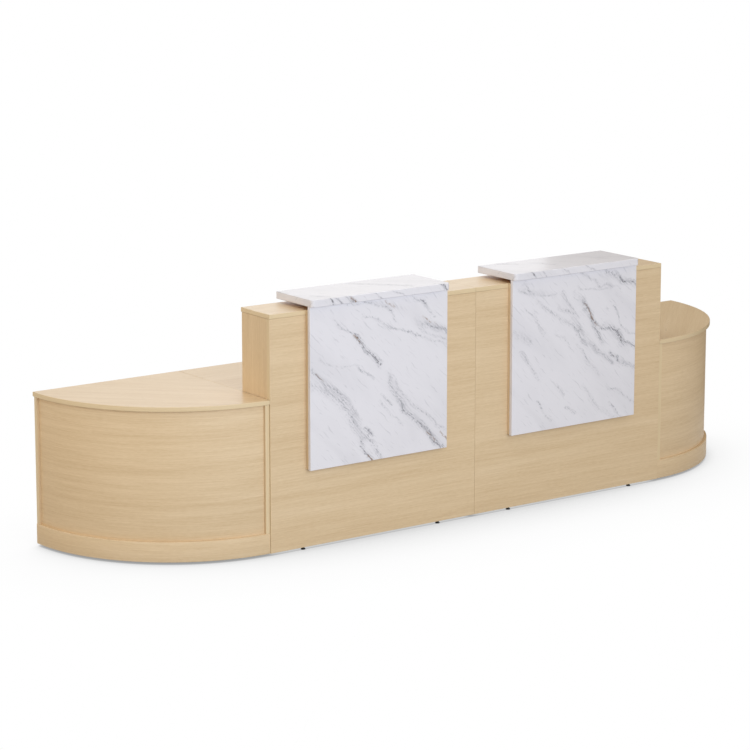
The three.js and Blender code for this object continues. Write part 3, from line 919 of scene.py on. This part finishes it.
def lift(tree, part, height):
    rise = addNode(tree, "ShaderNodeCombineXYZ", {}, {2: height})
    return addNode(tree, "GeometryNodeTransform", {},
                   {"Geometry": part, "Translation": rise.outputs[0]}).outputs[0]


def join(tree, *parts):
    joined = addNode(tree, "GeometryNodeJoinGeometry")
    for part in parts:
        tree.links.new(part, joined.inputs[0])
    return joined.outputs[0]


turned = paint(ribTree, given["Geometry"], given["Plastic"])
spots = addNode(ribTree, "GeometryNodeMeshCircle", {},
                {"Vertices": given["Rib Count"], "Radius": given["Rim Radius"]})
rib = addNode(ribTree, "GeometryNodeMeshCylinder", {"Vertices": foot["ribSides"]},
              {"Radius": given["Rib Radius"], "Depth": given["Rib Height"]})
ribs = addNode(ribTree, "GeometryNodeInstanceOnPoints", {},
               {"Points": spots.outputs[0], "Instance": rib.outputs[0]})
ribs = addNode(ribTree, "GeometryNodeRealizeInstances", {}, {0: ribs.outputs[0]})
ribs = paint(ribTree, lift(ribTree, ribs.outputs[0], given["Rib Height"]), given["Plastic"])
helix = addNode(ribTree, "GeometryNodeCurveSpiral", {"Resolution": foot["turnSteps"]},
                {"Rotations": given["Turns"], "Start Radius": given["Stud Radius"],
                 "End Radius": given["Stud Radius"], "Height": given["Stud Height"]})
crest = addNode(ribTree, "GeometryNodeCurvePrimitiveCircle",
                {"Resolution": foot["crestSides"], "Radius": foot["crest"]})
thread = addNode(ribTree, "GeometryNodeCurveToMesh", {"Fill Caps": True},
                 {"Curve": helix.outputs[0], "Profile Curve": crest.outputs[0]})
core = addNode(ribTree, "GeometryNodeMeshCylinder", {"Vertices": foot["studSides"]},
               {"Radius": given["Stud Radius"], "Depth": given["Stud Height"]})
core = lift(ribTree, core.outputs[0], addMath(ribTree, "MULTIPLY", given["Stud Height"], 0.5))
stud = lift(ribTree, join(ribTree, thread.outputs[0], core), given["Stud Foot"])
stud = paint(ribTree, stud, given["Steel"])
addNode(ribTree, "NodeGroupOutput", {}, {0: join(ribTree, turned, ribs, stud)})


def turnProfile(work, profile, steps):
    rings = []
    for radius, height in profile:
        angles = [2 * math.pi * step / steps for step in range(steps)] if radius else [0]
        rings.append([work.verts.new((radius * math.cos(a), radius * math.sin(a), height)) for a in angles])
    for low, high in zip(rings, rings[1:]):
        for at in range(steps):
            after = (at + 1) % steps
            corners = [low[at % len(low)], low[after % len(low)]]
            corners += [high[after % len(high)], high[at % len(high)]]
            work.faces.new(list(dict.fromkeys(corners)))  # a triangle at the middle
    return rings


footNames = [name for name in nodes if name.endswith("_foot")]
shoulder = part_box("left_front_panel")[0].z - foot["clearance"]
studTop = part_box(footNames[0])[1].z
work = bmesh.new()
rings = turnProfile(work, foot["rim"], foot["rimSteps"])
neckProfile = [(foot["neckRadius"], height) for height in (foot["neckFoot"], shoulder)]
neck = turnProfile(work, neckProfile, foot["neckSides"])
work.faces.new(neck[-1])
work.faces.new(rings[-1])
plainFoot = takeMesh(work, "plain foot")
dressedFoot = growMesh("foot", plainFoot, ribTree, {
    "Rib Count": foot["ribs"], "Rim Radius": max(foot["rim"])[0], "Rib Radius": foot["ribRadius"],
    "Rib Height": foot["ribHeight"], "Stud Radius": foot["studRadius"] - foot["crest"],
    "Stud Foot": shoulder - foot["sunk"],
    "Stud Height": studTop - shoulder + foot["sunk"] - foot["short"],
    "Turns": (studTop - shoulder) / foot["pitch"], "Plastic": blackPlastic, "Steel": zincSteel})
dressedFoot.set_sharp_from_angle(angle=foot["sharp"])
for name in footNames:
    mesh = dressedFoot.copy()
    mesh.name = name
    low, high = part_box(name)
    mesh.transform(Matrix.Translation(((low.x + high.x) / 2, (low.y + high.y) / 2, low.z)))
    addPiece(f"{name}.dressed", mesh, name, "black_plastic", name)
print("feet made:", len(footNames))


# Joining bolts: a low chamfered head with a hexagon recess at each end of a steel sleeve

bolt = {
    "shank": 0.003,
    "head": 0.003,
    "edge": 0.0006,
    "recess": 0.0026,
    "recessDepth": 0.0018,
    "steps": 36,
    "sharp": math.radians(30),
}
boltNames = [name for name in nodes if "_seam_bolt_" in name]
for name in boltNames:
    low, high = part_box(name)
    length = high.x - low.x
    radius = (high.z - low.z) / 2
    work = bmesh.new()
    grip = length / 2 - bolt["head"]
    profile = [(bolt["shank"], 0), (bolt["shank"], grip), (radius, grip), (radius, length / 2 - bolt["edge"]),
               (radius - bolt["edge"], length / 2)]
    for way in (1, -1):
        half = bmesh.new()
        rings = turnProfile(half, profile, bolt["steps"])
        hexagon = []
        for depth in (0, bolt["recessDepth"]):
            ring = []
            for step in range(bolt["steps"]):
                turn = 2 * math.pi * step / bolt["steps"]
                reach = bolt["recess"] / math.cos((turn % (math.pi / 3)) - math.pi / 6)
                ring.append(half.verts.new((reach * math.cos(turn), reach * math.sin(turn),
                                            length / 2 - depth)))
            hexagon.append(ring)
        for outer, inner in ((rings[-1], hexagon[0]), hexagon):
            for at in range(bolt["steps"]):
                after = (at + 1) % bolt["steps"]
                half.faces.new((outer[at], outer[after], inner[after], inner[at]))
        half.faces.new(hexagon[1])
        bmesh.ops.transform(half, matrix=Matrix.Rotation(way * math.pi / 2, 4, "Y"), verts=half.verts)
        part = takeMesh(half, "half bolt")
        work.from_mesh(part)
        bpy.data.meshes.remove(part)
    bmesh.ops.remove_doubles(work, verts=work.verts, dist=rounding["merge"])
    bmesh.ops.recalc_face_normals(work, faces=work.faces)
    mesh = takeMesh(work, name)
    mesh.transform(Matrix.Translation((low + high) / 2))
    mesh.set_sharp_from_angle(angle=bolt["sharp"])
    mesh.materials.append(zincSteel)
    addPiece(f"{name}.dressed", mesh, "desk", "steel", name)
print("bolts made:", len(boltNames))


# Cover caps: pressed over the fittings on the faces that only the staff see

caps = {
    "radius": 0.0085,
    "edge": 0.0009,
    "height": 0.0009,
    "sides": 24,
    "setIn": 0.034,  # from the edge of the board that the fitting holds
    "heights": (0.15, 0.6),  # on the end panels, above the floor
    "fromEnds": 0.12,  # under the worktop, from its front and back
    "dropBatten": (0.04, 0.2, -0.045),  # from the foot of the batten, or down from its top
    "slabBatten": 0.04,  # from its front and back
    "colour": "#D3BA92",
    "ior": 1.55,
    "roughness": (0.32, 0.48),
    "noise": {"Scale": 900, "Detail": 1},
}
capPlastic, tree, shader = newMaterial("beech coloured polystyrene, moulded", {"IOR": caps["ior"]})
shader.inputs["Base Color"].default_value = toLinear(caps["colour"])
addRoughness(tree, shader, addCloud(tree, caps["noise"]), caps["roughness"])

spots = []
for sideName, side in sides.items():
    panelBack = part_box(f"{sideName}_front_panel")[1].y
    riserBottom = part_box(f"{sideName}_riser_top")[0].z
    for end in ends:
        inward = side if end == "inner" else -side  # towards the knee hole
        low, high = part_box(f"{sideName}_{end}_end_panel")
        x = high.x if inward > 0 else low.x
        for z in caps["heights"]:
            spots.append(((x, panelBack + caps["setIn"], z), (inward, 0, 0)))
        for y in (low.y + caps["fromEnds"], high.y - caps["fromEnds"]):
            spots.append(((x, y, high.z - caps["setIn"]), (inward, 0, 0)))
        low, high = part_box(f"{sideName}_{end}_riser_side")
        for z in (low.z + caps["setIn"], high.z - caps["setIn"]):
            spots.append(((x, (low.y + high.y) / 2, z), (inward, 0, 0)))
        low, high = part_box(f"{sideName}_{end}_drop_batten")
        for step in caps["dropBatten"]:
            z = low.z + step if step > 0 else high.z + step
            spots.append((((low.x + high.x) / 2, panelBack, z), (0, 1, 0)))
        low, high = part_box(f"{sideName}_{end}_slab_batten")
        for y in (low.y + caps["slabBatten"], high.y - caps["slabBatten"]):
            spots.append((((low.x + high.x) / 2, y, riserBottom), (0, 0, -1)))
capSpots = bpy.data.meshes.new("cap spots")
capSpots.from_pydata([spot for spot, way in spots], [], [])
outward = capSpots.attributes.new("outward", "FLOAT_VECTOR", "POINT")
outward.data.foreach_set("vector", [part for spot, way in spots for part in way])

capTree, given = makeTree("cover caps", {
    "Radius": "Float", "Edge": "Float", "Height": "Float", "Material": "Material"})
upper = addMath(capTree, "SUBTRACT", given["Radius"], given["Edge"])
cap = addNode(capTree, "GeometryNodeMeshCone", {"Vertices": caps["sides"]},
              {"Radius Top": upper, "Radius Bottom": given["Radius"], "Depth": given["Height"]})
way = addNode(capTree, "GeometryNodeInputNamedAttribute",
              {"data_type": "FLOAT_VECTOR", "Name": "outward"})
turn = addNode(capTree, "FunctionNodeAlignRotationToVector", {"axis": "Z"}, {"Vector": way.outputs[0]})
placed = addNode(capTree, "GeometryNodeInstanceOnPoints", {},
                 {"Points": given["Geometry"], "Instance": cap.outputs[0], "Rotation": turn.outputs[0]})
placed = addNode(capTree, "GeometryNodeRealizeInstances", {}, {0: placed.outputs[0]})
addNode(capTree, "NodeGroupOutput", {}, {0: paint(capTree, placed.outputs[0], given["Material"])})
capMesh = growMesh("cover caps", capSpots, capTree, {
    "Radius": caps["radius"], "Edge": caps["edge"], "Height": caps["height"], "Material": capPlastic})
addPiece("cover_caps", capMesh, "desk", "beech_board")
print("cover caps placed:", len(spots))
